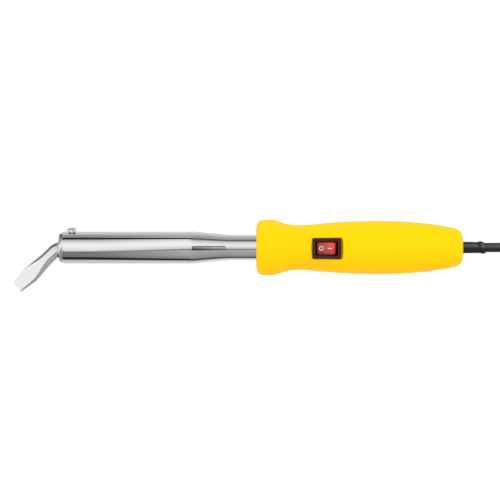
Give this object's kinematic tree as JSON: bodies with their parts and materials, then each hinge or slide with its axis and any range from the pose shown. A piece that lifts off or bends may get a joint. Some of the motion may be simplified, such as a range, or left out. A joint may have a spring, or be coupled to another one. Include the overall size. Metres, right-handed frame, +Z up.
{
  "type": "soldering iron",
  "caption": "Mains soldering iron for stained glass work with a bent chisel bit, a metal barrel, a flanged handle with a rocker switch, and a cord in a tied hank with its plug.",
  "frame": {"origin": "middle of the underside of the iron without its cord, on the surface it lies on", "axes": "+X along the handle towards the cord, +Y sideways, +Z up out of the switch; the bit bends towards -Y"},
  "size_m": [0.6729, 0.052, 0.04],
  "materials": {
    "barrel_chrome": "bright chrome plate over steel tube",
    "bit_plating": "nickel plated copper, satin to bright",
    "steel": "zinc plated steel",
    "brass": "plain brass",
    "copper": "bare copper",
    "resistance_wire": "oxidised nickel chrome wire",
    "mica": "layered mica sheet",
    "ceramic": "unglazed steatite",
    "handle_yellow": "satin moulded thermoplastic",
    "switch_black": "fine satin moulding",
    "rocker_red": "translucent red, glossy",
    "lamp_glass": "clear glass",
    "white_plastic": "natural nylon",
    "black_plastic": "black nylon",
    "cord_rubber": "black flexible rubber",
    "plug_nickel": "nickel plated brass",
    "wire_brown": "brown insulation",
    "wire_blue": "blue insulation",
    "wire_green": "green and yellow insulation"
  },
  "bodies": {
    "iron": {"heater_barrel": "barrel_chrome", "nose_bush": "steel", "heater_core_tube": "steel", "lead_guide_tube": "steel", "stem_collar": "steel", "earth_screw": "steel", "shell_screw_1": "steel", "shell_screw_2": "steel", "shell_screw_3": "steel", "shell_screw_4": "steel", "clamp_bar_screw_1": "steel", "clamp_bar_screw_2": "steel", "earth_tag": "brass", "terminal_load": "brass", "terminal_supply": "brass", "terminal_lamp": "brass", "block_screw_1": "brass", "block_screw_2": "brass", "block_screw_3": "brass", "lead_crimp_live": "copper", "lead_crimp_neutral": "copper", "heating_coil": "resistance_wire", "mica_inner_sleeve": "mica", "mica_outer_sleeve": "mica", "rear_ceramic_disc": "ceramic", "lead_sleeve_live": "ceramic", "lead_sleeve_neutral": "ceramic", "handle_top_shell": "handle_yellow", "handle_bottom_shell": "handle_yellow", "switch_housing": "switch_black", "terminal_block": "white_plastic", "cord_clamp_bar": "black_plastic", "hank_tie": "black_plastic", "strain_relief": "cord_rubber", "cord_lead": "cord_rubber", "cord_hank": "cord_rubber", "cord_tail": "cord_rubber", "plug_sleeve": "cord_rubber", "plug_body": "cord_rubber", "plug_pin_1": "plug_nickel", "plug_pin_2": "plug_nickel", "plug_earth_clip_1": "plug_nickel", "plug_earth_clip_2": "plug_nickel", "wire_supply": "wire_brown", "wire_load": "wire_brown", "core_live": "wire_brown", "wire_lamp": "wire_blue", "wire_neutral": "wire_blue", "core_neutral": "wire_blue", "wire_earth": "wire_green", "core_earth": "wire_green"},
    "bit": {"soldering_bit": "bit_plating"},
    "clamp_screw": {"bit_clamp_screw": "steel"},
    "rocker": {"switch_rocker": "rocker_red", "switch_plunger": "white_plastic", "plunger_spring": "steel", "neon_lamp": "lamp_glass"},
    "bridge": {"contact_bridge": "copper"}
  },
  "joints": [
    {"name": "bit_slide", "type": "slide", "parent": "iron", "child": "bit", "axis": [-1, 0, 0], "range_m": [0, 0.08]},
    {"name": "clamp_screw_turn", "type": "hinge", "parent": "iron", "child": "clamp_screw", "pos_m": [-0.12699, 0.00598, 0.02], "axis": [0, 0.9703, 0.2419], "range_deg": [0, 720]},
    {"name": "rocker_tilt", "type": "hinge", "parent": "iron", "child": "rocker", "pos_m": [0.05571, 0.00598, 0.0352], "axis": [0, 1, 0], "range_deg": [0, 24]},
    {"name": "bridge_rock", "type": "hinge", "parent": "iron", "child": "bridge", "pos_m": [0.05571, 0.00598, 0.0264], "axis": [0, 1, 0], "range_deg": [-18, 0]}
  ],
  "couplings": [
    {"joint": "bridge_rock", "follows": "rocker_tilt", "ratio": -0.75}
  ]
}
